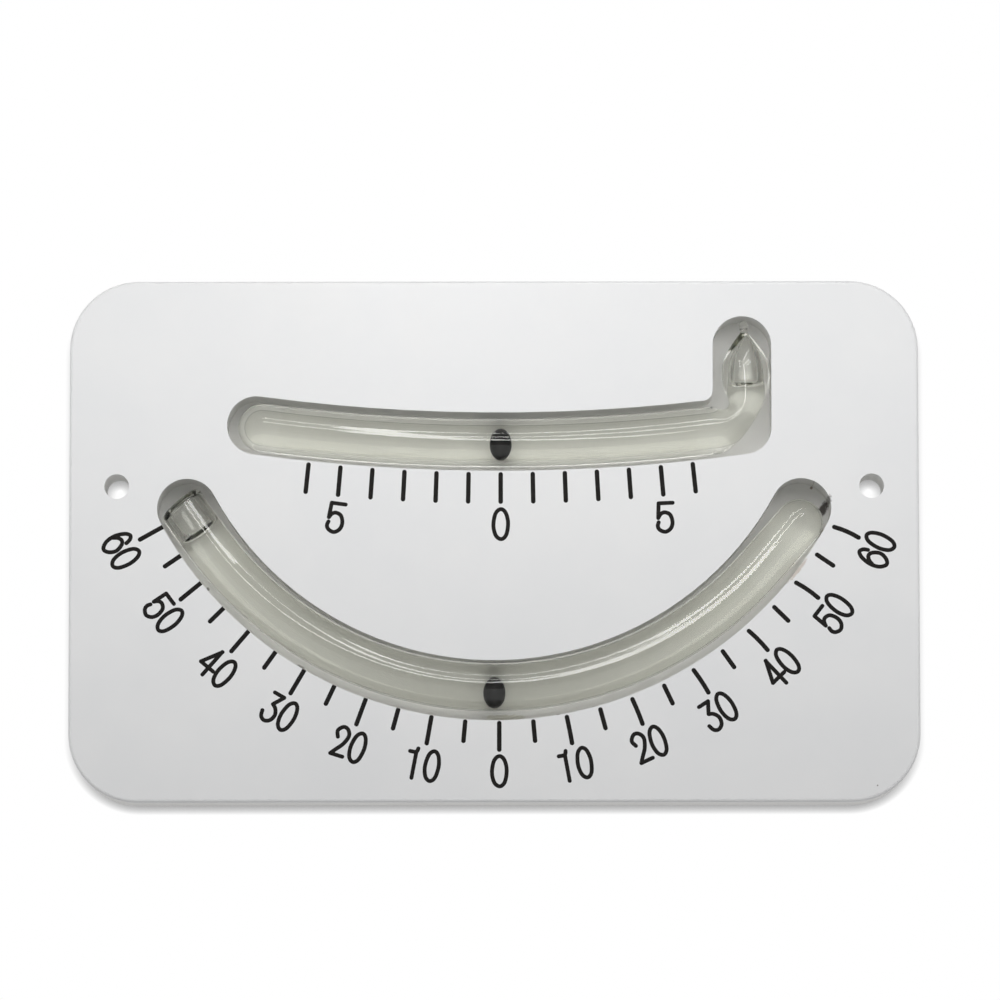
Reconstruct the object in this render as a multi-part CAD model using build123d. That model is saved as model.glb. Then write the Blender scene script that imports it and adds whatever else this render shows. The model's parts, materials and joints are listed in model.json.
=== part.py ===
from build123d import *
import os
from math import asin, cos, degrees, pi, radians, sin, sqrt

os.makedirs("parts", exist_ok=True)

# Boat clinometer: a white plate with two bent glass vials, each with a ball that rolls to the lowest point.
# Millimetres. The back of the plate is the plane Y = 0, the front looks towards -Y, and +Z is up.
# Angles on an arc are counted from straight down, positive to the right.

# Glass vials
vial_diameter = 7.4
ball_diameter = 3.4
upper_bore_play = 0.35
lower_bore_play = 1.3
ball_running_gap = 0.05

# Base plate, built up in depth from its back: floor, adhesive, glass, and the glass lies below the face
groove_floor = 2.0
adhesive_layer = 0.2
vial_recess = 0.4
plate_width = 130.0
plate_height = 80.0
plate_thickness = groove_floor + adhesive_layer + vial_diameter + vial_recess
plate_corner_radius = 10.5
plate_edge_round = 0.5

# Screw holes
hole_diameter = 3.8
hole_side_margin = 7.25
hole_top_margin = 31.6

# Upper groove: a shallow arc that turns up into a riser pocket at its right end
upper_groove_play = 1.6
upper_groove_radius = 276.2
upper_low_point_x = 1.0
upper_low_point_margin = 24.75
upper_groove_left = -36.4
riser_x = 38.0
riser_top_margin = 5.45
riser_inner_round = 1.6
riser_outer_round = 4.2

# Lower groove: a wide arc with round ends
lower_groove_play = 1.8
lower_groove_radius = 53.5
lower_low_point_margin = 17.1
lower_groove_end_angle = 61.4

# Upper vial: it lies a little high in its groove. Its right end is bent up, drawn out and sealed.
upper_vial_rise = 0.15
upper_vial_left_gap = 1.6
riser_vial_shift = 0.7
riser_tip_gap = 0.25

# Bend: the tube is folded sharply, so that it is flat there and its outer wall runs nearly straight across.
# Its path is drawn towards a corner point, and it is narrowest a little before its middle.
bend_run = 4.85
bend_lead_in = 0.75
bend_corner_overrun = 1.0
bend_corner_lift = 0.2
bend_lead_out = 2.75
bend_flat_width = 4.6
bend_flat_lead_ratio = 0.87
bend_section_count = 9

# Riser: straight above the bend, then a shoulder drawn in to a nib that leans back, with a small bulb
riser_straight = 1.0
neck_length = 5.9
neck_middle_height = 3.4
neck_middle_inset = 1.2
neck_seal = 0.6
nib_lean = 0.35
nib_radius = 0.6
nib_length = 1.1
nib_bulb_radius = 0.75

# Lower vial: bent a little wider than its groove, so that it comes near the inner wall at its middle.
# Its two ends stay straight.
lower_vial_widening = 0.95
lower_vial_rise = 0.75
lower_vial_left_gap = 4.2
lower_vial_right_gap = 4.1
lower_left_straight = 7.0
lower_right_straight = 9.0
seal_wall = 0.8
seal_tilt = 5.0
seal_round = 1.1

# Adhesive beads on the groove floors
bead_base_width = 6.0
bead_top_width = 4.6
bead_height = 1.0
bead_end_margin = 2.5

# Engraved marks, filled with paint. The long marks right of the lower zero lean out and bow back.
mark_width = 0.7
mark_depth = 0.3
paint_recess = 0.05
upper_mark_count = 13
upper_mark_angle = 1.0
upper_mark_length = 4.9
upper_mark_gap = 0.2
lower_mark_count = 25
lower_mark_angle = 5.07
lower_mark_gap = 0.35
lower_long_mark = 4.75
lower_short_mark = 3.65
lower_scale_shift = 0.74
lower_scale_rise = 0.27
right_mark_lean_ratio = 0.09
right_mark_bow_ratio = 0.26

vial_radius = vial_diameter / 2
upper_bore_radius = (ball_diameter + upper_bore_play) / 2
lower_bore_radius = (ball_diameter + lower_bore_play) / 2
vial_depth = groove_floor + adhesive_layer + vial_radius
groove_depth = plate_thickness - groove_floor

upper_groove_half = (vial_diameter + upper_groove_play) / 2
upper_centre = (upper_low_point_x, plate_height / 2 - upper_low_point_margin + upper_groove_radius)
upper_groove_left_angle = degrees(asin((upper_groove_left - upper_centre[0]) / upper_groove_radius))
riser_top = plate_height / 2 - riser_top_margin

upper_vial_radius = upper_groove_radius - upper_vial_rise
upper_vial_inset = upper_vial_left_gap + vial_radius - upper_groove_half
upper_vial_left_angle = upper_groove_left_angle + degrees(upper_vial_inset / upper_vial_radius)
riser_axis_x = riser_x + riser_vial_shift
bend_start_angle = degrees(asin((riser_axis_x - bend_run - upper_centre[0]) / upper_vial_radius))
nib_end = riser_top - riser_tip_gap
nib_bulb_height = nib_end - nib_bulb_radius
neck_top = nib_bulb_height - nib_length
shoulder_height = neck_top - neck_length
bore_tip_height = neck_top - neck_seal
bend_top = shoulder_height - riser_straight

lower_groove_half = (vial_diameter + lower_groove_play) / 2
lower_low_point = lower_low_point_margin - plate_height / 2
lower_centre = (0, lower_low_point + lower_groove_radius)
lower_wall_angle = lower_groove_end_angle + degrees(lower_groove_half / lower_groove_radius)
lower_vial_radius = lower_groove_radius + lower_vial_widening
lower_vial_centre = (0, lower_low_point + lower_vial_rise + lower_vial_radius)
lower_left_inset = lower_vial_left_gap + lower_left_straight
lower_right_inset = lower_vial_right_gap + vial_radius + lower_right_straight
lower_vial_left_angle = degrees(lower_left_inset / lower_vial_radius) - lower_wall_angle
lower_vial_right_angle = lower_wall_angle - degrees(lower_right_inset / lower_vial_radius)


def arc_point(centre, radius, angle):
    """Point (x, z) on an arc, at an angle counted from straight down."""
    return (centre[0] + radius * sin(radians(angle)), centre[1] - radius * cos(radians(angle)))


def height_on_arc(centre, radius, x):
    """Height of the lower half of a circle at x."""
    return centre[1] - sqrt(radius**2 - (x - centre[0])**2)


def section_plane(centre, radius, angle, depth):
    """Plane across an arc: its x points to the arc's centre, its y to the front, its normal along the arc."""
    x, z = arc_point(centre, radius, angle)
    inward = (-sin(radians(angle)), 0, cos(radians(angle)))
    along = (cos(radians(angle)), 0, sin(radians(angle)))
    return Plane(origin=(x, -depth, z), x_dir=inward, z_dir=along)


def bent_bar(section, centre, radius, start_angle, end_angle, depth):
    """Section swept along an arc about an axis parallel to Y."""
    face = section_plane(centre, radius, start_angle, depth) * section
    turn_axis = Axis((centre[0], -depth, centre[1]), (0, -1, 0))
    return revolve(face, turn_axis, end_angle - start_angle)


def half_ball(radius, plane):
    """Half a ball on the far side of a plane."""
    return plane * Sphere(radius, arc_size1=0, arc_size2=90, align=(Align.CENTER, Align.CENTER, Align.MIN))


# Grooves

def upper_groove_outline():
    inner = upper_groove_radius - upper_groove_half
    outer = upper_groove_radius + upper_groove_half
    riser_left = riser_x - upper_groove_half
    riser_right = riser_x + upper_groove_half
    round_start = riser_top - upper_groove_half
    inner_corner = (riser_left, height_on_arc(upper_centre, inner, riser_left))
    outer_corner = (riser_right, height_on_arc(upper_centre, outer, riser_right))
    left_inner = arc_point(upper_centre, inner, upper_groove_left_angle)
    left_outer = arc_point(upper_centre, outer, upper_groove_left_angle)
    left_end_angle = upper_groove_left_angle - degrees(upper_groove_half / upper_groove_radius)
    outline = [
        ThreePointArc(left_inner, arc_point(upper_centre, inner, 0), inner_corner),
        Line(inner_corner, (riser_left, round_start)),
        ThreePointArc((riser_left, round_start), (riser_x, riser_top), (riser_right, round_start)),
        Line((riser_right, round_start), outer_corner),
        ThreePointArc(outer_corner, arc_point(upper_centre, outer, 0), left_outer),
        ThreePointArc(left_outer, arc_point(upper_centre, upper_groove_radius, left_end_angle), left_inner),
    ]
    face = make_face(outline)
    inner_vertex = face.vertices().sort_by_distance((*inner_corner, 0))[0]
    face = fillet(inner_vertex, riser_inner_round)
    outer_vertex = face.vertices().sort_by_distance((*outer_corner, 0))[0]
    return fillet(outer_vertex, riser_outer_round)


def lower_groove_outline():
    start = 270 - lower_groove_end_angle
    path = CenterArc(lower_centre, lower_groove_radius, start, 2 * lower_groove_end_angle)
    return SlotArc(path, 2 * lower_groove_half)


def groove_cutter(outline):
    return extrude(Plane.XZ.offset(groove_floor) * outline, groove_depth)


# Marks

def mark_outline(centre, start_radius, length, angle, lean=0, bow=0):
    """Round-ended stroke away from the arc's centre. It may lean to the right and bow back clockwise."""
    middle = arc_point(centre, start_radius + length / 2, angle)
    chord = length - mark_width
    if bow == 0:
        return Pos(*middle) * Rot(0, 0, angle + lean - 90) * SlotCenterToCenter(chord, mark_width)
    inner_end = arc_point(middle, -chord / 2, angle + lean)
    start_direction = arc_point((0, 0), 1, angle + lean + bow / 2)
    path = JernArc(inner_end, start_direction, chord / 2 / sin(radians(bow / 2)), -bow)
    return SlotArc(path, mark_width)


def upper_mark_outlines():
    start_radius = upper_groove_radius + upper_groove_half + upper_mark_gap
    middle = (upper_mark_count - 1) / 2
    return [
        mark_outline(upper_centre, start_radius, upper_mark_length, (i - middle) * upper_mark_angle)
        for i in range(upper_mark_count)
    ]


def lower_mark_outlines():
    centre = (lower_centre[0] + lower_scale_shift, lower_centre[1] + lower_scale_rise)
    start_radius = lower_groove_radius + lower_groove_half + lower_mark_gap
    middle = (lower_mark_count - 1) // 2
    outlines = []
    for i in range(-middle, middle + 1):
        angle = i * lower_mark_angle
        if i % 2:
            outlines.append(mark_outline(centre, start_radius, lower_short_mark, angle))
        elif i <= 0:
            outlines.append(mark_outline(centre, start_radius, lower_long_mark, angle))
        else:
            lean = right_mark_lean_ratio * angle
            bow = right_mark_bow_ratio * angle
            outlines.append(mark_outline(centre, start_radius, lower_long_mark, angle, lean, bow))
    return outlines


def cut_marks(outlines, depth):
    """Strokes raised by a depth from the floor of the engraving."""
    floor = Plane.XZ.offset(plate_thickness - mark_depth)
    return [extrude(floor * outline, depth) for outline in outlines]


# Base plate

def build_base_plate():
    face = Plane.XZ * RectangleRounded(plate_width, plate_height, plate_corner_radius)
    plate = extrude(face, plate_thickness)
    front = plate.faces().sort_by(Axis.Y)[0]
    back = plate.faces().sort_by(Axis.Y)[-1]
    plate = fillet(front.edges() + back.edges(), plate_edge_round)
    hole_x = plate_width / 2 - hole_side_margin
    hole_z = plate_height / 2 - hole_top_margin
    for x in (-hole_x, hole_x):
        plate -= extrude(Plane.XZ * Pos(x, hole_z) * Circle(hole_diameter / 2), plate_thickness)
    plate -= groove_cutter(upper_groove_outline())
    plate -= groove_cutter(lower_groove_outline())
    plate -= cut_marks(upper_mark_outlines() + lower_mark_outlines(), mark_depth)
    return plate


# Upper vial

def bend_path():
    """Middle line of the bend, from the end of the arc to the foot of the riser."""
    start = arc_point(upper_centre, upper_vial_radius, bend_start_angle)
    lead_in = (cos(radians(bend_start_angle)) * bend_lead_in, sin(radians(bend_start_angle)) * bend_lead_in)
    corner_x = riser_axis_x + bend_corner_overrun
    corner_z = height_on_arc(upper_centre, upper_vial_radius, corner_x) + bend_corner_lift
    return Bezier(start, (start[0] + lead_in[0], start[1] + lead_in[1]), (corner_x, corner_z),
                  (riser_axis_x, bend_top - bend_lead_out), (riser_axis_x, bend_top))


def bend_body(radius):
    """Tube round the bend. It is squeezed between its inner and outer walls and keeps its depth."""
    path = bend_path()
    squeeze = 1 - bend_flat_width / vial_diameter
    sections = []
    for i in range(bend_section_count):
        t = i / (bend_section_count - 1)
        place = path @ t
        along = path % t
        half_width = radius * (1 - squeeze * sin(pi * t**bend_flat_lead_ratio)**2)
        plane = Plane(origin=(place.X, -vial_depth, place.Y), x_dir=(0, -1, 0), z_dir=(along.X, 0, along.Y))
        sections.append(plane * Ellipse(radius, half_width))
    return loft(sections)


def riser_section(radius, height):
    """Round section across the riser, set back by the lean of the nib."""
    lean = nib_lean * (max(height - shoulder_height, 0) / (nib_bulb_height - shoulder_height))**2
    return Plane(origin=(riser_axis_x - lean, -vial_depth, height), z_dir=(0, 0, 1)) * Circle(radius)


def riser_glass():
    """Outside of the riser: straight, then a shoulder drawn in to the nib and its small bulb."""
    shoulder = riser_section(vial_radius, shoulder_height)
    neck_middle = riser_section(vial_radius - neck_middle_inset, shoulder_height + neck_middle_height)
    nib_start = riser_section(nib_radius, neck_top)
    nib_stop = riser_section(nib_radius, nib_bulb_height)
    body = loft([riser_section(vial_radius, bend_top), shoulder])
    body += loft([shoulder, neck_middle, nib_start])
    body += loft([nib_start, nib_stop])
    body += Pos(*nib_stop.center()) * Sphere(nib_bulb_radius)
    return body


def riser_bore():
    """Inside of the riser: straight, then a pointed top."""
    x = riser_axis_x
    wall_x = x + upper_bore_radius
    tip_middle = (bend_top + bore_tip_height) / 2
    outline = [
        Bezier((wall_x, bend_top), (wall_x, tip_middle), (x, bore_tip_height)),
        Line((x, bore_tip_height), (x, bend_top)),
        Line((x, bend_top), (wall_x, bend_top)),
    ]
    face = Plane.XZ.offset(vial_depth) * make_face(outline)
    return revolve(face, Axis((x, -vial_depth, 0), (0, 0, 1)), 360)


def upper_vial_body(radius, riser):
    """Bar along the upper vial: closed left end, arc, bend and riser."""
    left_plane = section_plane(upper_centre, upper_vial_radius, upper_vial_left_angle, vial_depth)
    body = bent_bar(Circle(radius), upper_centre, upper_vial_radius, upper_vial_left_angle,
                    bend_start_angle, vial_depth)
    body += half_ball(radius, Plane(left_plane.origin, x_dir=left_plane.x_dir, z_dir=-left_plane.z_dir))
    body += bend_body(radius)
    body += riser
    return body


# Lower vial

def lower_vial_body(radius, left_inset, edge_round):
    """Round bar along the lower vial: domed right end and a flat, slightly crooked left end."""
    left_plane = section_plane(lower_vial_centre, lower_vial_radius, lower_vial_left_angle, vial_depth)
    right_plane = section_plane(lower_vial_centre, lower_vial_radius, lower_vial_right_angle, vial_depth)
    left_end = extrude(left_plane * Circle(radius), -lower_left_straight - vial_radius)
    seal_plane = left_plane.offset(left_inset - lower_left_straight).rotated((0, seal_tilt, 0))
    left_end = split(left_end, seal_plane, keep=Keep.TOP)
    rim = left_end.edges().sort_by_distance(seal_plane.origin)[0]
    body = bent_bar(Circle(radius), lower_vial_centre, lower_vial_radius, lower_vial_left_angle,
                    lower_vial_right_angle, vial_depth)
    body += fillet(rim, edge_round)
    body += extrude(right_plane * Circle(radius), lower_right_straight)
    body += half_ball(radius, right_plane.offset(lower_right_straight))
    return body


# Adhesive

def bead_section():
    return Polygon(
        (-bead_base_width / 2, 0), (bead_base_width / 2, 0), (bead_top_width / 2, bead_height),
        (-bead_top_width / 2, bead_height), align=None)


def build_bead(centre, radius, left_angle, right_angle, vial_outside):
    margin = degrees(bead_end_margin / radius)
    bead = bent_bar(bead_section(), centre, radius, left_angle + margin, right_angle - margin, groove_floor)
    return bead - vial_outside


# Balls

def build_ball(centre, path_radius, bore_radius):
    """Ball at the lowest point of its bore, a running gap above the glass."""
    drop = bore_radius - ball_diameter / 2 - ball_running_gap
    x, z = arc_point(centre, path_radius + drop, 0)
    return Pos(x, -vial_depth, z) * Sphere(ball_diameter / 2)


upper_glass = upper_vial_body(vial_radius, riser_glass())
lower_glass = lower_vial_body(vial_radius, 0, seal_round)
upper_paint = cut_marks(upper_mark_outlines(), mark_depth - paint_recess)
lower_paint = cut_marks(lower_mark_outlines(), mark_depth - paint_recess)

nodes = {
    "base_plate": build_base_plate(),
    "upper_vial": upper_glass - upper_vial_body(upper_bore_radius, riser_bore()),
    "lower_vial": lower_glass - lower_vial_body(lower_bore_radius, seal_wall, seal_round / 2),
    "upper_vial_adhesive": build_bead(
        upper_centre, upper_vial_radius, upper_vial_left_angle, bend_start_angle, upper_glass),
    "lower_vial_adhesive": build_bead(
        lower_vial_centre, lower_vial_radius, lower_vial_left_angle, lower_vial_right_angle, lower_glass),
    "upper_ball": build_ball(upper_centre, upper_vial_radius, upper_bore_radius),
    "lower_ball": build_ball(lower_vial_centre, lower_vial_radius, lower_bore_radius),
    "upper_scale_marks": Compound(upper_paint),
    "lower_scale_marks": Compound(lower_paint) - groove_cutter(lower_groove_outline()),
}

for name, shape in nodes.items():
    export_step(shape, f"parts/{name}.step")
    print(name, round(shape.volume, 3))
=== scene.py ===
import json
from math import asin, atan2, cos, hypot, pi, radians, sin, sqrt

import bpy
from mathutils import Matrix, Vector


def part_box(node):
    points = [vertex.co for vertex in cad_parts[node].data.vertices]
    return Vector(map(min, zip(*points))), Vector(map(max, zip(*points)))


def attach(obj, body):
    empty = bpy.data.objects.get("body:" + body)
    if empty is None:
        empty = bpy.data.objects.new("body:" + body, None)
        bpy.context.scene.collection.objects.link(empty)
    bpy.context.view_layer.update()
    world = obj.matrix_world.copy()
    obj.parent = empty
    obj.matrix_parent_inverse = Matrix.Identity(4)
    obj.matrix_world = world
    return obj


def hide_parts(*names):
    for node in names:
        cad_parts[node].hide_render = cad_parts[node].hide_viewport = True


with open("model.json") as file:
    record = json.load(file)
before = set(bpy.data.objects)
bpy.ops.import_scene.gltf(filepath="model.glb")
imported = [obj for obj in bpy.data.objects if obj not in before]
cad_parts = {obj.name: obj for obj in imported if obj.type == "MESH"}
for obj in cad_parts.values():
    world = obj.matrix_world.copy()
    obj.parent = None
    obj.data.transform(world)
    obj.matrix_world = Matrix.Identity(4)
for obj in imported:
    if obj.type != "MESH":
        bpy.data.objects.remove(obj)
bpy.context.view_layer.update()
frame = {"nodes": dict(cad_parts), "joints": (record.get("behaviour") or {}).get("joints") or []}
nodes = frame["nodes"]

# Boat clinometer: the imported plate, balls and marks get their finishes here. The glass vials and the beads
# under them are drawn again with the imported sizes, and the liquid's surfaces, numerals and stains are added.
# Blender units are metres. A size in millimetres is written as a number times MM.
MM = 0.001

# Places read from the frame
plate_low, plate_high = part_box("base_plate")
face_y = plate_low.y
joint_place = {joint["name"]: Vector(joint["pos_m"]) for joint in frame["joints"]}
upper_centre = joint_place["upper_ball_roll"]
lower_centre = joint_place["lower_ball_roll"]
vial_y = upper_centre.y


def box_middle(node):
    low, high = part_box(node)
    return (low + high) / 2


# Glass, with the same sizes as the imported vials
vial_radius = 3.7 * MM
ball_radius = 1.7 * MM
ball_running_gap = 0.05 * MM
upper_bore_radius = 1.875 * MM
lower_bore_radius = 2.35 * MM
upper_path_radius = (upper_centre.z - box_middle("upper_ball").z
                     - (upper_bore_radius - ball_radius - ball_running_gap))
lower_path_radius = (lower_centre.z - box_middle("lower_ball").z
                     - (lower_bore_radius - ball_radius - ball_running_gap))
upper_left_angle = radians(-7.6162)
riser_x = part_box("upper_vial")[1].x - vial_radius
nib_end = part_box("upper_vial")[1].z
bend_run = 4.85 * MM
bend_lead_in = 0.75 * MM
bend_corner_overrun = 1.0 * MM
bend_corner_lift = 0.2 * MM
bend_lead_out = 2.75 * MM
bend_squeeze = 0.378
bend_flat_lead = 0.87
riser_straight = 1.0 * MM
neck_length = 5.9 * MM
neck_middle_height = 3.4 * MM
neck_middle_inset = 1.2 * MM
neck_seal = 0.6 * MM
nib_lean = 0.35 * MM
nib_radius = 0.6 * MM
nib_length = 1.1 * MM
nib_bulb_radius = 0.75 * MM
lower_left_angle = radians(-54.541)
lower_right_angle = radians(48.648)
lower_left_straight = 7.0 * MM
lower_right_straight = 9.0 * MM
seal_wall = 0.8 * MM
seal_tilt = radians(5.0)
seal_round = 1.1 * MM

bend_angle = asin((riser_x - bend_run - upper_centre.x) / upper_path_radius)
nib_bulb_z = nib_end - nib_bulb_radius
neck_top = nib_bulb_z - nib_length
shoulder_z = neck_top - neck_length
bore_tip_z = neck_top - neck_seal
bend_top = shoulder_z - riser_straight

# Liquid: it fills the upper vial up to a height in the riser, and the lower one but for its left end
liquid_top = 24.9 * MM
lower_air_length = 4.6 * MM
surface_hollow_ratio = 0.55

# Optical values
glass_ior = 1.47
liquid_ior = 1.45
glue_ior = 1.02
glass_tint = (0.962, 0.963, 0.950)
glue_tint = (0.99, 0.99, 0.985)
no_tint = (1.0, 1.0, 1.0)

# Smoothness of the tubes and of curves
ring_sides = 96
arc_spacing = 0.35 * MM
bend_steps = 40
neck_steps = 30
straight_steps = 12
end_steps = 20
curve_steps = 8


# Meshes

def new_piece(name, vertices, faces, material, smooth=True):
    mesh = bpy.data.meshes.new(name)
    mesh.from_pydata(vertices, [], faces)
    mesh.validate()
    mesh.materials.append(material)
    for polygon in mesh.polygons:
        polygon.use_smooth = smooth
    piece = bpy.data.objects.new(name, mesh)
    bpy.context.scene.collection.objects.link(piece)
    return piece


def flat_piece(name, corners, material):
    """One flat face with four corners."""
    return new_piece(name, corners, [(0, 1, 2, 3)], material, smooth=False)


def sweep(stations, sides, y, flatness=1.0):
    """Tube through stations (x, z, direction, radius) in a plane parallel to the plate.

    A direction is the angle of travel from +X towards +Z. A radius of 0 closes an end. A fifth value
    gives the tube another radius in depth."""
    vertices, faces, rings = [], [], []
    for x, z, direction, radius, *deep in stations:
        depth = deep[0] if deep else flatness * radius
        count = sides if radius > 0 else 1
        rings.append([len(vertices) + k for k in range(count)])
        for k in range(count):
            turn = 2 * pi * k / sides
            side = radius * cos(turn)
            vertices.append((x - sin(direction) * side, y - depth * sin(turn), z + cos(direction) * side))
    for first, second in zip(rings, rings[1:]):
        for k in range(sides):
            after = (k + 1) % sides
            face = [first[k % len(first)], first[after % len(first)],
                    second[after % len(second)], second[k % len(second)]]
            faces.append(list(dict.fromkeys(face)))
    return vertices, faces


def join(*parts):
    """One list of vertices and faces from several."""
    vertices, faces = [], []
    for part_vertices, part_faces in parts:
        offset = len(vertices)
        vertices += part_vertices
        faces += [[index + offset for index in face] for face in part_faces]
    return vertices, faces


def inside_out(part):
    vertices, faces = part
    return vertices, [face[::-1] for face in faces]


def arc_stations(centre, path_radius, start, end, radius):
    """Stations along an arc. Angles are counted from straight down, positive to the right."""
    steps = max(2, round(abs(end - start) * path_radius / arc_spacing))
    stations = []
    for i in range(steps + 1):
        angle = start + (end - start) * i / steps
        stations.append((centre.x + path_radius * sin(angle), centre.z - path_radius * cos(angle),
                         angle, radius))
    return stations


def dome_stations(station, forward, reach_ratio=1.0):
    """Stations of a round end that closes a tube after (forward) or before a station."""
    x, z, direction, radius = station[:4]
    stations = []
    for i in range(1, end_steps + 1):
        turn = pi / 2 * i / end_steps
        reach = reach_ratio * radius * sin(turn) * (1 if forward else -1)
        size = radius * cos(turn) if i < end_steps else 0
        stations.append((x + reach * cos(direction), z + reach * sin(direction), direction, size))
    return stations if forward else stations[::-1]


def bezier(points, steps):
    """Points after the first along a Bezier curve."""
    found = []
    for i in range(1, steps + 1):
        t = i / steps
        level = [Vector(point) for point in points]
        while len(level) > 1:
            level = [a.lerp(b, t) for a, b in zip(level, level[1:])]
        found.append(tuple(level[0]))
    return found


def smooth_path(points):
    """Points of a soft curve through the given ones. Two points are left as a straight line."""
    if len(points) == 2:
        return points
    closed = points[0] == points[-1]
    path = []
    for i in range(len(points) - 1):
        before = points[i - 1] if i > 0 else (points[-2] if closed else points[0])
        after = points[i + 2] if i + 2 < len(points) else (points[1] if closed else points[-1])
        p0, p1, p2, p3 = (Vector(p) for p in (before, points[i], points[i + 1], after))
        for k in range(curve_steps):
            t = k / curve_steps
            path.append(0.5 * (2 * p1 + (p2 - p0) * t + (2 * p0 - 5 * p1 + 4 * p2 - p3) * t**2
                               + (3 * p1 - p0 - 3 * p2 + p3) * t**3))
    path.append(Vector(points[-1]))
    return [tuple(point) for point in path]


# Upper vial

def bend_stations(radius):
    """Stations round the bend. The tube is squeezed there between its inner and outer walls."""
    x, z = riser_x - bend_run, upper_centre.z - upper_path_radius * cos(bend_angle)
    corner_x = riser_x + bend_corner_overrun
    corner_rise = upper_centre.z - sqrt(upper_path_radius**2 - (corner_x - upper_centre.x)**2)
    path = bezier([(x, z), (x + bend_lead_in * cos(bend_angle), z + bend_lead_in * sin(bend_angle)),
                   (corner_x, corner_rise + bend_corner_lift), (riser_x, bend_top - bend_lead_out),
                   (riser_x, bend_top)], bend_steps)
    path = [(x, z)] + path
    lengths = [0.0]
    for (x0, z0), (x1, z1) in zip(path, path[1:]):
        lengths.append(lengths[-1] + hypot(x1 - x0, z1 - z0))
    stations = []
    for i in range(1, bend_steps):
        (x0, z0), (x1, z1) = path[i - 1], path[i + 1]
        squeeze = bend_squeeze * sin(pi * (lengths[i] / lengths[-1])**bend_flat_lead)**2
        stations.append((*path[i], atan2(z1 - z0, x1 - x0), radius * (1 - squeeze), radius))
    return stations + [(riser_x, bend_top, pi / 2, radius)]


def riser_station(radius, height):
    """Level station on the riser, set back by the lean of the nib."""
    lean = nib_lean * (max(height - shoulder_z, 0) / (nib_bulb_z - shoulder_z))**2
    return (riser_x - lean, height, pi / 2, radius)


def riser_glass():
    """Outside of the riser: a shoulder drawn in to the nib, and the nib's small bulb."""
    # The radius falls with the square and the cube of the height, past the neck's middle to the nib's foot
    middle_share = neck_middle_height / neck_length
    full_inset = vial_radius - nib_radius
    cube = (neck_middle_inset / middle_share**2 - full_inset) / (middle_share - 1)
    square = full_inset - cube
    stations = []
    for i in range(neck_steps + 1):
        share = i / neck_steps
        stations.append(riser_station(vial_radius - square * share**2 - cube * share**3,
                                      shoulder_z + share * neck_length))
    bulb_start = asin(nib_radius / nib_bulb_radius)
    for i in range(end_steps):
        turn = bulb_start + (pi - bulb_start) * i / end_steps
        height = nib_bulb_z - nib_bulb_radius * cos(turn)
        stations.append(riser_station(nib_bulb_radius * sin(turn), height))
    return stations + [riser_station(0, nib_end)]


def riser_bore():
    """Inside of the riser, which narrows to a pointed top."""
    middle_z = (bend_top + bore_tip_z) / 2
    outline = bezier([(upper_bore_radius, bend_top), (upper_bore_radius, middle_z), (0, bore_tip_z)],
                     neck_steps)
    return [(riser_x, z, pi / 2, size) for size, z in outline[:-1]] + [(riser_x, bore_tip_z, pi / 2, 0)]


def upper_tube(radius, riser_stations):
    body = arc_stations(upper_centre, upper_path_radius, upper_left_angle, bend_angle, radius)
    stations = dome_stations(body[0], False) + body + bend_stations(radius) + riser_stations
    return sweep(stations, ring_sides, vial_y)


# Lower vial

def lower_station(angle, beyond, radius):
    """Station on the lower vial's path, or beyond an end of its arc along the straight."""
    return (lower_centre.x + lower_path_radius * sin(angle) + beyond * cos(angle),
            lower_centre.z - lower_path_radius * cos(angle) + beyond * sin(angle), angle, radius)


def seal_stations(radius, inset, rounding):
    """Stations of the flat, slightly crooked left end, and of the straight up to the arc."""
    stations = []
    outline = [(0, 0)]
    for i in range(end_steps + 1):
        turn = pi / 2 * i / end_steps
        outline.append((radius - rounding * (1 - sin(turn)), rounding * (1 - cos(turn))))
    for size, depth in outline:
        x, z, direction, _ = lower_station(lower_left_angle, inset + depth - lower_left_straight, size)
        stations.append((x, z, direction + seal_tilt, size))
    straight = lower_left_straight - inset - rounding
    for i in range(1, straight_steps):
        share = i / straight_steps
        x, z, direction, _ = lower_station(lower_left_angle, (share - 1) * straight, radius)
        stations.append((x, z, direction + seal_tilt * (1 - share)**2, radius))
    return stations


def lower_tube(radius, left_stations):
    body = arc_stations(lower_centre, lower_path_radius, lower_left_angle, lower_right_angle, radius)
    right_end = lower_station(lower_right_angle, lower_right_straight, radius)
    stations = left_stations + body + [right_end] + dome_stations(right_end, True)
    return sweep(stations, ring_sides, vial_y)


# Materials

def add(tree, kind, values=None, **settings):
    """Node with values on its input sockets, where a socket given as a value is linked."""
    node = tree.nodes.new(kind)
    for key, setting in settings.items():
        setattr(node, key, setting)
    for key, value in (values or {}).items():
        if isinstance(value, bpy.types.NodeSocket):
            tree.links.new(value, node.inputs[key])
        else:
            node.inputs[key].default_value = value
    return node


def new_material(name):
    material = bpy.data.materials.new(name)
    material.use_nodes = True
    tree = material.node_tree
    tree.nodes.clear()
    return material, tree


def set_surface(tree, shader):
    add(tree, "ShaderNodeOutputMaterial", {"Surface": shader.outputs[0]})


def noise(tree, scale, detail=2.0, roughness=0.5, place=None):
    place = place or add(tree, "ShaderNodeTexCoord").outputs["Object"]
    node = add(tree, "ShaderNodeTexNoise", {"Vector": place, "Scale": scale, "Detail": detail,
                                            "Roughness": roughness})
    return node.outputs["Fac"]


def remap(tree, value, low, high, to_low=0.0, to_high=1.0):
    node = add(tree, "ShaderNodeMapRange", {"Value": value, "From Min": low, "From Max": high,
                                            "To Min": to_low, "To Max": to_high})
    return node.outputs["Result"]


def maths(tree, operation, first, second=0.0):
    return add(tree, "ShaderNodeMath", {0: first, 1: second}, operation=operation).outputs[0]


def squares_sum(tree, first, second):
    return maths(tree, "ADD", maths(tree, "MULTIPLY", first, first), maths(tree, "MULTIPLY", second, second))


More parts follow.
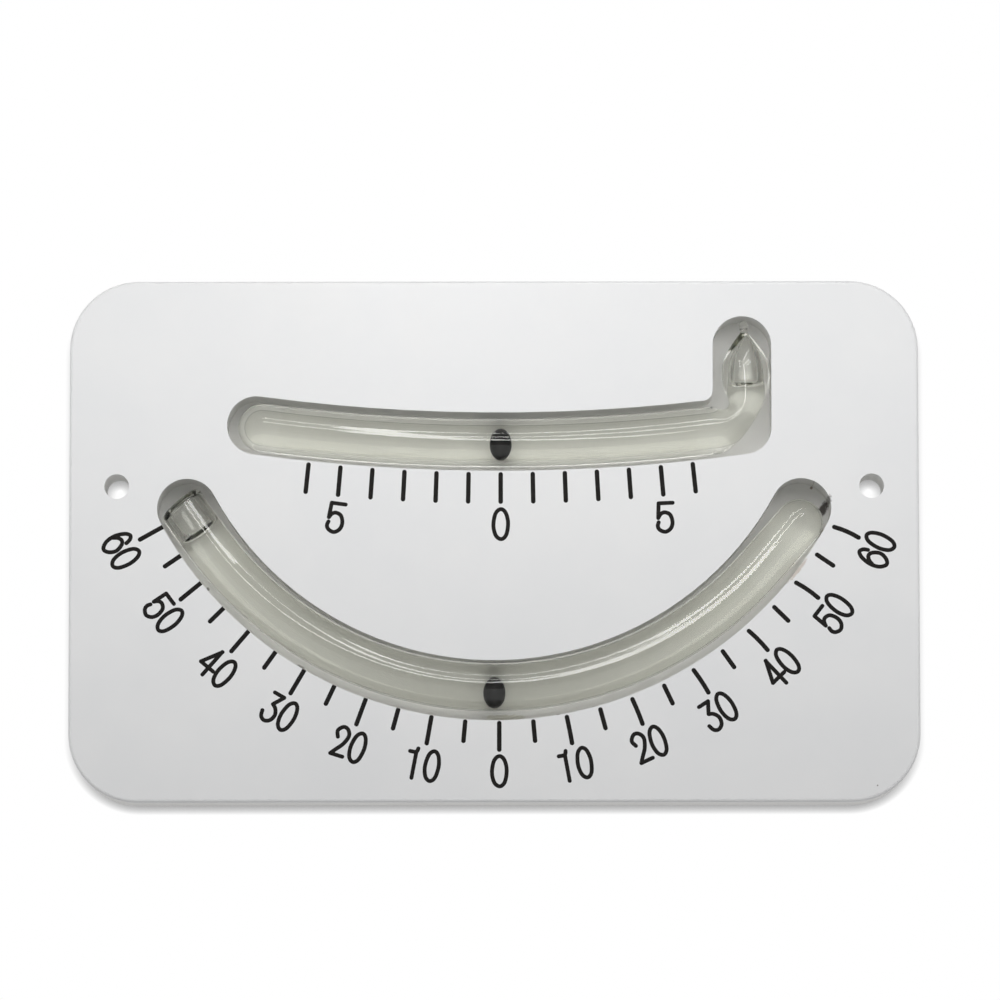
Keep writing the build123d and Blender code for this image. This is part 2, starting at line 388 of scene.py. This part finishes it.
def blend_colour(tree, share, first, second):
    # The mix node has sockets of one name for each kind of value: these are its colour ones
    share_socket, first_socket, second_socket, colour_output = 0, 6, 7, 2
    values = {share_socket: share, first_socket: first, second_socket: second}
    return add(tree, "ShaderNodeMix", values, data_type="RGBA").outputs[colour_output]


def bump(tree, height, distance):
    return add(tree, "ShaderNodeBump", {"Height": height, "Distance": distance}).outputs["Normal"]


def clear_material(name, ior, tint):
    """Glass, glue or liquid: clear and smooth."""
    material, tree = new_material(name)
    glass = add(tree, "ShaderNodeBsdfGlass", {"Color": (*tint, 1.0), "IOR": ior, "Roughness": 0.0})
    set_surface(tree, glass)
    return material


glass_outside = clear_material("drawn_glass", glass_ior, glass_tint)
glass_bore = clear_material("glass_against_liquid", glass_ior / liquid_ior, glass_tint)
glass_in_air = clear_material("glass_against_air", glass_ior, glass_tint)
air_in_liquid = clear_material("air_in_liquid", 1 / liquid_ior, no_tint)
clear_glue = clear_material("clear_glue", glue_ior, glue_tint)


# Vials: the faces of a bore look into liquid, or into air beyond the liquid's surface

def in_riser_air(place):
    return place.z > liquid_top


def past_liquid(place):
    """How far a place is past the liquid's end, towards the left end of the lower vial."""
    liquid_end = seal_wall + lower_air_length - lower_left_straight
    x, z, direction, _ = lower_station(lower_left_angle, liquid_end, 0)
    return (x - place.x) * cos(direction) + (z - place.z) * sin(direction)


def in_end_air(place):
    return place.x < 0 and past_liquid(place) > 0


def hollow_vial(name, outside, bore, node, in_air):
    """Glass with its bore, whose faces look into air where in_air says so of a place."""
    vertices, faces = join(outside, inside_out(bore))
    vial = new_piece(name, vertices, faces, glass_outside)
    vial.data.materials.append(glass_bore)
    vial.data.materials.append(glass_in_air)
    bore_slot, air_slot = 1, 2
    outside_faces = len(outside[1])
    for polygon in vial.data.polygons[outside_faces:]:
        polygon.material_index = air_slot if in_air(polygon.center) else bore_slot
    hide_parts(node)
    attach(vial, "base")


lower_bore_end = seal_stations(lower_bore_radius, seal_wall, seal_round / 2)
hollow_vial("upper_vial_tube", upper_tube(vial_radius, riser_glass()),
            upper_tube(upper_bore_radius, riser_bore()), "upper_vial", in_riser_air)
hollow_vial("lower_vial_tube", lower_tube(vial_radius, seal_stations(vial_radius, 0, seal_round)),
            lower_tube(lower_bore_radius, lower_bore_end), "lower_vial", in_end_air)


# Adhesive beads: clear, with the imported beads' section, and wetting both the plate and the glass

bead_base_width = 6.0 * MM
bead_top_width = 4.6 * MM
bead_end_margin = 2.5 * MM
bead_overlap = 0.05 * MM
bead_sides = 12
groove_floor_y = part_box("upper_vial_adhesive")[1].y


def bead_ring():
    """Section of a bead as (towards the arc's centre, y): flat on the floor, hollow round the glass."""
    ring = [(-bead_base_width / 2, groove_floor_y + bead_overlap),
            (bead_base_width / 2, groove_floor_y + bead_overlap)]
    for i in range(bead_sides + 1):
        side = bead_top_width * (0.5 - i / bead_sides)
        ring.append((side, vial_y + sqrt((vial_radius - bead_overlap)**2 - side**2)))
    return ring


def add_bead(name, centre, path_radius, start, end, node):
    margin = bead_end_margin / path_radius
    vertices, faces = [], []
    ring = bead_ring()
    size = len(ring)
    stations = arc_stations(centre, path_radius, start + margin, end - margin, 0)
    for x, z, angle, _ in stations:
        vertices += [(x - side * sin(angle), y, z + side * cos(angle)) for side, y in ring]
    for i in range(len(stations) - 1):
        for k in range(size):
            after = (k + 1) % size
            faces.append((i * size + after, i * size + k, (i + 1) * size + k, (i + 1) * size + after))
    faces.append(tuple(range(size)))
    faces.append(tuple(range(len(vertices) - 1, len(vertices) - size - 1, -1)))
    bead = new_piece(name, vertices, faces, clear_glue, smooth=False)
    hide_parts(node)
    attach(bead, "base")


add_bead("upper_vial_bead", upper_centre, upper_path_radius, upper_left_angle, bend_angle,
         "upper_vial_adhesive")
add_bead("lower_vial_bead", lower_centre, lower_path_radius, lower_left_angle, lower_right_angle,
         "lower_vial_adhesive")


# Surfaces of the liquid, hollow towards the air

def upper_surface():
    in_air = [station for station in bend_stations(upper_bore_radius) if station[1] > liquid_top]
    rim = in_air[0]
    return sweep(dome_stations(rim, False, surface_hollow_ratio) + [rim], ring_sides, vial_y)


def lower_surface():
    in_air = [station for station in lower_bore_end if past_liquid(Vector((station[0], 0, station[1]))) > 0]
    rim = in_air[-1]
    return sweep([rim] + dome_stations(rim, True, surface_hollow_ratio), ring_sides, vial_y)


for name, shape in (("upper_liquid_surface", upper_surface()), ("lower_liquid_surface", lower_surface())):
    surface = new_piece(name, *shape, air_in_liquid)
    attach(surface, "base")


# Numerals: engraved strokes with round ends, filled with paint. A glyph is a list of strokes in
# millimetres about its middle, x to the right and y up. A stroke of two points is straight.

glyphs = {
    "0": [[(0.0, 2.3), (0.75, 1.75), (1.12, 0.2), (0.85, -1.6), (0.1, -2.3), (-0.75, -1.75), (-1.12, -0.2),
           (-0.8, 1.6), (0.0, 2.3)]],
    "1": [[(-1.0, 1.7), (-0.1, 1.68)], [(-0.1, 1.68), (0.16, 1.9), (0.28, 2.3)],
          [(0.05, 1.75), (0.0, -2.3)]],
    "2": [[(-0.7, 0.55), (-1.05, 1.45), (-0.35, 2.25), (0.5, 2.1), (1.0, 1.2), (0.55, -0.2),
           (-0.35, -1.4), (-0.95, -2.2)], [(-0.95, -2.2), (1.15, -2.1)]],
    "3": [[(-0.85, 2.2), (0.95, 2.2)], [(0.95, 2.2), (-0.15, 0.5)],
          [(-0.15, 0.5), (0.55, 0.1), (1.05, -0.8), (0.75, -1.85), (-0.1, -2.3), (-0.85, -1.95),
           (-1.15, -1.1)]],
    "4": [[(0.45, 2.3), (-1.3, -0.9)], [(-1.3, -0.9), (1.35, -0.9)], [(0.4, 2.3), (0.32, -2.3)]],
    "5": [[(1.3, 2.05), (-0.85, 2.15)], [(-0.85, 2.15), (-1.1, -0.1)],
          [(-1.1, -0.1), (-0.65, 0.5), (0.0, 0.68), (0.75, 0.25), (1.02, -0.85), (0.7, -1.8),
           (-0.15, -2.3), (-1.0, -1.95), (-1.28, -1.35), (-1.1, -0.75)]],
    "6": [[(0.85, 1.2), (0.6, 1.95), (0.0, 2.3), (-0.7, 1.6), (-1.15, 0.1), (-1.0, -1.3), (-0.4, -2.15),
           (0.2, -2.25), (0.85, -1.65), (1.15, -0.65), (0.7, 0.45), (0.05, 0.8), (-0.6, 0.45),
           (-1.05, -0.25)]],
}
stroke_width = 0.62 * MM
stroke_rise = 0.02 * MM
stroke_sides = 16
stroke_end_skip = 3
pair_pitch = 2.75 * MM
pair_squeeze = 0.92
upper_label_radius = 288.9 * MM
upper_label_angle = radians(5.0)
lower_label_radius = 66.15 * MM
lower_label_angle = radians(10.13)
lower_label_step = 10
lower_label_last = 60
upper_scale_centre = (upper_centre.x, upper_centre.z)
lower_scale_centre = (0.74 * MM, 30.87 * MM)
right_label_lean = 0.09


def stroke_mesh(points):
    """Flat, slightly domed stroke with round ends along points (x, z) on the plate's face."""
    half_width = stroke_width / 2
    stations = []
    for i, (x, z) in enumerate(points):
        x0, z0 = points[max(i - 1, 0)]
        x1, z1 = points[min(i + 1, len(points) - 1)]
        stations.append((x, z, atan2(z1 - z0, x1 - x0), half_width))
    start = dome_stations(stations[0], False)[::stroke_end_skip]
    end = dome_stations(stations[-1], True)[stroke_end_skip - 1::stroke_end_skip]
    end[-1] = (*end[-1][:3], 0)
    return sweep(start + stations + end, stroke_sides, face_y, stroke_rise / half_width)


def label_mesh(text, centre, radius, angle, turn):
    """Digits side by side at an angle on an arc, turned so that their tops face the arc's centre."""
    x = centre[0] + radius * sin(angle)
    z = centre[1] - radius * cos(angle)
    parts = []
    squeeze = pair_squeeze if len(text) > 1 else 1.0
    for i, digit in enumerate(text):
        shift = (i - (len(text) - 1) / 2) * pair_pitch
        for stroke in glyphs[digit]:
            local = [(px * MM * squeeze + shift, py * MM) for px, py in smooth_path(stroke)]
            points = [(x + px * cos(turn) - py * sin(turn), z + px * sin(turn) + py * cos(turn))
                      for px, py in local]
            parts.append(stroke_mesh(points))
    return join(*parts)


def paint_material():
    """Black paint, a little uneven, as it dries in an engraved line."""
    material, tree = new_material("black_engraving_paint")
    grain = noise(tree, scale=2500.0, detail=3.0)
    colour = blend_colour(tree, remap(tree, grain, 0.3, 0.8),
                          (0.006, 0.005, 0.005, 1), (0.018, 0.016, 0.014, 1))
    roughness = remap(tree, noise(tree, scale=900.0), 0.3, 0.7, to_low=0.5, to_high=0.75)
    shader = add(tree, "ShaderNodeBsdfPrincipled", {
        "Base Color": colour, "Roughness": roughness, "Specular IOR Level": 0.12,
        "Normal": bump(tree, grain, 0.01 * MM)})
    set_surface(tree, shader)
    return material


black_paint = paint_material()


def add_label(name, text, centre, radius, angle, turn):
    piece = new_piece(name, *label_mesh(text, centre, radius, angle, turn), black_paint)
    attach(piece, "base")


for sign, side in ((-1, "left"), (0, "zero"), (1, "right")):
    text = "5" if sign else "0"
    angle = sign * upper_label_angle
    add_label(f"upper_numeral_{side}", text, upper_scale_centre, upper_label_radius, angle, angle)
for shown in range(-lower_label_last, lower_label_last + 1, lower_label_step):
    angle = shown // lower_label_step * lower_label_angle
    turn = angle * (1 + right_label_lean) if shown > 0 else angle
    side = "left" if shown < 0 else "right"
    name = f"lower_numeral_{side}_{abs(shown)}" if shown else "lower_numeral_zero"
    add_label(name, str(abs(shown)), lower_scale_centre, lower_label_radius, angle, turn)


# Stains on the plate: (degrees along the lower arc, half length in degrees, radius about the arc's centre
# in millimetres, half width in millimetres, colour, strength)

stains = [
    (62.2, 1.7, 57.3, 0.65, (0.030, 0.020, 0.012, 1), 0.95),
    (58.7, 0.85, 58.7, 0.32, (0.12, 0.08, 0.05, 1), 0.8),
    (64.4, 0.3, 54.2, 0.25, (0.15, 0.09, 0.05, 1), 0.8),
    (51.4, 2.4, 59.3, 0.35, (0.45, 0.36, 0.27, 1), 0.6),
    (9.5, 0.5, 59.3, 0.22, (0.12, 0.05, 0.04, 1), 0.7),
    (15.0, 1.0, 59.3, 0.2, (0.14, 0.07, 0.05, 1), 0.6),
    (1.5, 3.5, 58.9, 0.5, (0.45, 0.43, 0.31, 1), 0.5),
    (-48.5, 0.3, 58.8, 0.25, (0.10, 0.08, 0.06, 1), 0.6),
    (-30.2, 0.8, 59.0, 0.22, (0.12, 0.10, 0.08, 1), 0.5),
    (-8.0, 1.0, 59.4, 0.2, (0.14, 0.12, 0.10, 1), 0.5),
    (39.9, 0.08, 91.0, 0.12, (0.08, 0.06, 0.05, 1), 0.8),
]
stain_raggedness = 0.35
stain_fade_start = plate_high.y - 1.5 * MM
stain_fade_end = plate_high.y - 1.0 * MM

# A stain is full up to one squared distance from its middle, in half sizes, and gone at another
stain_full = 0.35
stain_gone = 1.1


def add_stains(tree, place, colour):
    """Stains over a colour, with ragged edges. They fade out before the plate's back."""
    axes = add(tree, "ShaderNodeSeparateXYZ", {0: place})
    across = maths(tree, "SUBTRACT", axes.outputs["X"], lower_centre.x)
    down = maths(tree, "SUBTRACT", lower_centre.z, axes.outputs["Z"])
    angle = maths(tree, "ARCTAN2", across, down)
    radius = maths(tree, "SQRT", squares_sum(tree, across, down))
    grain = noise(tree, scale=2200.0, detail=3.0, roughness=0.6, place=place)
    ragged = remap(tree, grain, 0.3, 0.7, to_low=-stain_raggedness, to_high=stain_raggedness)
    ahead = remap(tree, axes.outputs["Y"], stain_fade_start, stain_fade_end, to_low=1.0, to_high=0.0)
    for degrees_along, half_length, stain_radius, half_width, stain_colour, strength in stains:
        turned = maths(tree, "SUBTRACT", angle, radians(degrees_along))
        along = maths(tree, "DIVIDE", turned, radians(half_length))
        moved = maths(tree, "SUBTRACT", radius, stain_radius * MM)
        aside = maths(tree, "DIVIDE", moved, half_width * MM)
        distance = maths(tree, "ADD", squares_sum(tree, along, aside), ragged)
        share = remap(tree, distance, stain_full, stain_gone, to_low=strength, to_high=0.0)
        colour = blend_colour(tree, maths(tree, "MULTIPLY", share, ahead), colour, stain_colour)
    return colour


# Finishes of the imported nodes

# Depths below the face over which the grooves fade into their painted shade
groove_shade_start = face_y + 0.4 * MM
groove_shade_end = face_y + 1.6 * MM


def plastic_material():
    """White plastic sheet: fine grain, faint mottling, painted shade as a slightly darker, warmer tone in the
    grooves, and the stains.
    """
    material, tree = new_material("white_plastic_sheet")
    place = add(tree, "ShaderNodeTexCoord").outputs["Object"]
    depth = add(tree, "ShaderNodeSeparateXYZ", {0: place}).outputs["Y"]
    mottle = noise(tree, scale=60.0, detail=3.0, roughness=0.6)
    grain = noise(tree, scale=3200.0)
    face_colour = blend_colour(tree, remap(tree, mottle, 0.35, 0.65),
                               (0.805, 0.81, 0.815, 1), (0.83, 0.832, 0.832, 1))
    # Painted shade: the groove walls and floor are the same plastic as the face, given a slightly darker,
    # warmer colour
    groove_painted_shade_colour = blend_colour(tree, noise(tree, scale=250.0, detail=3.0),
                                 (0.80, 0.797, 0.772, 1), (0.83, 0.827, 0.805, 1))
    groove_shade_share = remap(tree, depth, groove_shade_start, groove_shade_end)
    colour = add_stains(tree, place, blend_colour(tree, groove_shade_share, face_colour, groove_painted_shade_colour))
    height = maths(tree, "ADD", grain, maths(tree, "MULTIPLY", mottle, 2.0))
    shader = add(tree, "ShaderNodeBsdfPrincipled", {
        "Base Color": colour,
        "Roughness": remap(tree, mottle, 0.3, 0.7, to_low=0.42, to_high=0.52),
        "Normal": bump(tree, height, 0.006 * MM)})
    set_surface(tree, shader)
    return material


def steel_material():
    """Black oxide on a polished steel ball."""
    material, tree = new_material("black_oxide_steel")
    mottle = noise(tree, scale=1500.0, detail=3.0)
    colour = blend_colour(tree, mottle, (0.004, 0.004, 0.004, 1), (0.010, 0.010, 0.010, 1))
    shader = add(tree, "ShaderNodeBsdfPrincipled", {
        "Base Color": colour, "Metallic": 0.0, "Specular IOR Level": 0.06,
        "Roughness": remap(tree, mottle, 0.2, 0.8, to_low=0.22, to_high=0.38)})
    set_surface(tree, shader)
    return material


plastic = plastic_material()
steel = steel_material()
finishes = {
    "base_plate": plastic,
    "upper_ball": steel,
    "lower_ball": steel,
    "upper_scale_marks": black_paint,
    "lower_scale_marks": black_paint,
}
for node, material in finishes.items():
    for material_slot in nodes[node].material_slots:
        material_slot.material = material


# Stage: a white wall just behind the plate and a pale floor below it, both seen only from their front

wall_gap = 0.3 * MM
stage_half = 1.5
floor_z = -0.30
shadow_reach = 1.5 * MM
shadow_samples = 16
wall_shadow_direction = (0.0, -0.5, 0.85)
floor_shadow_direction = (0.0, 0.0, 1.0)
wall_y = plate_high.y + wall_gap
floor_front_y = wall_y - 2 * stage_half


def upright_square(y, half):
    """Corners of a square parallel to the plate, with its middle on the Y axis."""
    return [(-half, y, -half), (half, y, -half), (half, y, half), (-half, y, half)]


def seen(tree):
    """1 for what the camera sees, straight, mirrored or through glass, and 0 for light on matt surfaces."""
    rays = add(tree, "ShaderNodeLightPath").outputs
    straight_or_mirrored = maths(tree, "MAXIMUM", rays["Is Camera Ray"], rays["Is Glossy Ray"])
    return maths(tree, "MAXIMUM", straight_or_mirrored, rays["Is Transmission Ray"])


def stage_material(name, shadow_direction):
    """White to the camera, apart from a soft shadow of what stands close to it."""
    material, tree = new_material(name)
    tilted = add(tree, "ShaderNodeCombineXYZ", dict(enumerate(shadow_direction)))
    shade = add(tree, "ShaderNodeAmbientOcclusion", {"Distance": shadow_reach, "Normal": tilted.outputs[0]},
                samples=shadow_samples)
    glow = add(tree, "ShaderNodeEmission", {"Color": shade.outputs["Color"]})
    matte = add(tree, "ShaderNodeBsdfDiffuse", {"Color": (0.85, 0.85, 0.85, 1)})
    front = add(tree, "ShaderNodeMixShader", {0: seen(tree), 1: matte.outputs[0], 2: glow.outputs[0]})
    behind = add(tree, "ShaderNodeBsdfTransparent")
    backfacing = add(tree, "ShaderNodeNewGeometry").outputs["Backfacing"]
    set_surface(tree, add(tree, "ShaderNodeMixShader",
                          {0: backfacing, 1: front.outputs[0], 2: behind.outputs[0]}))
    return material


wall = flat_piece("wall", upright_square(wall_y, stage_half),
                  stage_material("wall_white", wall_shadow_direction))
floor = flat_piece("floor", [(-stage_half, floor_front_y, floor_z), (stage_half, floor_front_y, floor_z),
                             (stage_half, wall_y, floor_z), (-stage_half, wall_y, floor_z)],
                   stage_material("floor_white", floor_shadow_direction))
wall.visible_diffuse = False
wall.visible_shadow = False


# Camera, at the photograph's place

camera_distance = 1.100
camera_azimuth = radians(0.0)
camera_elevation = radians(-5.75)
camera_roll = radians(-0.067)
camera_target = Vector((0.894, -10.0, 6.256)) * MM
camera_lens = 258.895
sensor_width = 36.0

back = Vector((sin(camera_azimuth) * cos(camera_elevation), -cos(camera_azimuth) * cos(camera_elevation),
               sin(camera_elevation)))
level_right = (-back).cross(Vector((0, 0, 1))).normalized()
level_up = level_right.cross(-back)
camera_right = cos(camera_roll) * level_right + sin(camera_roll) * level_up
camera_up = cos(camera_roll) * level_up - sin(camera_roll) * level_right


def build_camera():
    data = bpy.data.cameras.new("photo_camera")
    data.lens = camera_lens
    data.sensor_width = sensor_width
    data.clip_start = 0.01
    data.clip_end = 100.0
    camera = bpy.data.objects.new("photo_camera", data)
    axes = Matrix((camera_right, camera_up, back)).transposed().to_4x4()
    camera.matrix_world = Matrix.Translation(camera_target + back * camera_distance) @ axes
    bpy.context.scene.collection.objects.link(camera)
    bpy.context.scene.camera = camera


build_camera()


# Light: an even studio, and a soft box above and in front of the plate. Two light strips with a branch each
# show as lines in the glass, and a grey card keeps its other reflections dim.

ambient_light = 0.45
soft_box_place = Vector((0.0, -0.14, 0.06))
soft_box_aim = Vector((0.0, 0.0, 0.02))
soft_box_width = 0.40
soft_box_height = 0.06
soft_box_power = 0.20
card_distance = 1.4
card_half = 1.0
card_tone = 0.4

# Strips: distances and half widths are millimetres, and routes are lists of (x, z) in millimetres
high_strip = {"distance": 98, "half_width": 4.5, "radiance": 13.0}
high_route = [(-5, 50), (-12, 60), (-17, 76), (-17, 90), (-8, 100), (4, 102), (14, 108), (27, 128),
              (55, 178), (102, 248), (171, 328), (245, 389)]
high_branch = [(-36, 103), (-22, 103), (-8, 102)]
low_strip = {"distance": 252, "half_width": 9, "radiance": 11.0}
low_route = [(36, 36), (18, 46), (0, 64), (-13, 86), (-15, 106), (-8, 124), (0, 128), (12, 132),
             (33, 160), (57, 193), (80, 215), (105, 230), (138, 238), (152, 226), (135, 187), (63, 113)]
low_branch = [(-40, 130), (-22, 129), (-4, 128)]


def glow_material(name, radiance):
    material, tree = new_material(name)
    set_surface(tree, add(tree, "ShaderNodeEmission", {"Color": (1, 1, 1, 1), "Strength": radiance}))
    return material


def show_in_reflections_only(piece):
    piece.visible_camera = False
    piece.visible_diffuse = False
    piece.visible_transmission = False
    piece.visible_shadow = False


def light_strip(name, route, distance, half_width, radiance):
    """Bright ribbon along a route, parallel to the plate and at a distance in front of its back."""
    vertices, faces = [], []
    path = smooth_path(route)
    for i, (x, z) in enumerate(path):
        x0, z0 = path[max(i - 1, 0)]
        x1, z1 = path[min(i + 1, len(path) - 1)]
        length = hypot(x1 - x0, z1 - z0)
        side_x, side_z = -(z1 - z0) / length * half_width, (x1 - x0) / length * half_width
        for sign in (-1, 1):
            vertices.append(((x + sign * side_x) * MM, -distance * MM, (z + sign * side_z) * MM))
    for i in range(len(path) - 1):
        faces.append((2 * i, 2 * i + 1, 2 * i + 3, 2 * i + 2))
    strip = new_piece(name, vertices, faces, glow_material(name, radiance), smooth=False)
    show_in_reflections_only(strip)


def grey_card():
    card = flat_piece("grey_card", upright_square(-card_distance, card_half),
                      glow_material("card_grey", card_tone))
    show_in_reflections_only(card)


def soft_box():
    data = bpy.data.lights.new("top_soft_box", "AREA")
    data.shape = "RECTANGLE"
    data.size = soft_box_width
    data.size_y = soft_box_height
    data.energy = soft_box_power
    lamp = bpy.data.objects.new("top_soft_box", data)
    lamp.location = soft_box_place
    lamp.rotation_mode = "QUATERNION"
    lamp.rotation_quaternion = (soft_box_aim - soft_box_place).to_track_quat("-Z", "Y")
    lamp.visible_camera = False
    lamp.visible_glossy = False
    bpy.context.scene.collection.objects.link(lamp)


def build_world():
    """Even light on matt surfaces, and white where the camera sees the world."""
    world = bpy.data.worlds.new("studio")
    bpy.context.scene.world = world
    world.use_nodes = True
    tree = world.node_tree
    tree.nodes.clear()
    strength = remap(tree, seen(tree), 0.0, 1.0, to_low=ambient_light, to_high=1.0)
    background = add(tree, "ShaderNodeBackground", {"Color": (1, 1, 1, 1), "Strength": strength})
    add(tree, "ShaderNodeOutputWorld", {"Surface": background.outputs[0]})


light_strip("high_light_strip", high_route, **high_strip)
light_strip("high_light_branch", high_branch, **high_strip)
light_strip("low_light_strip", low_route, **low_strip)
light_strip("low_light_branch", low_branch, **low_strip)
grey_card()
soft_box()
build_world()
bpy.context.scene.view_settings.view_transform = "Standard"

# Light turns many times inside the thick glass
cycles = bpy.context.scene.cycles
cycles.max_bounces = 40
cycles.transmission_bounces = 40
cycles.glossy_bounces = 30
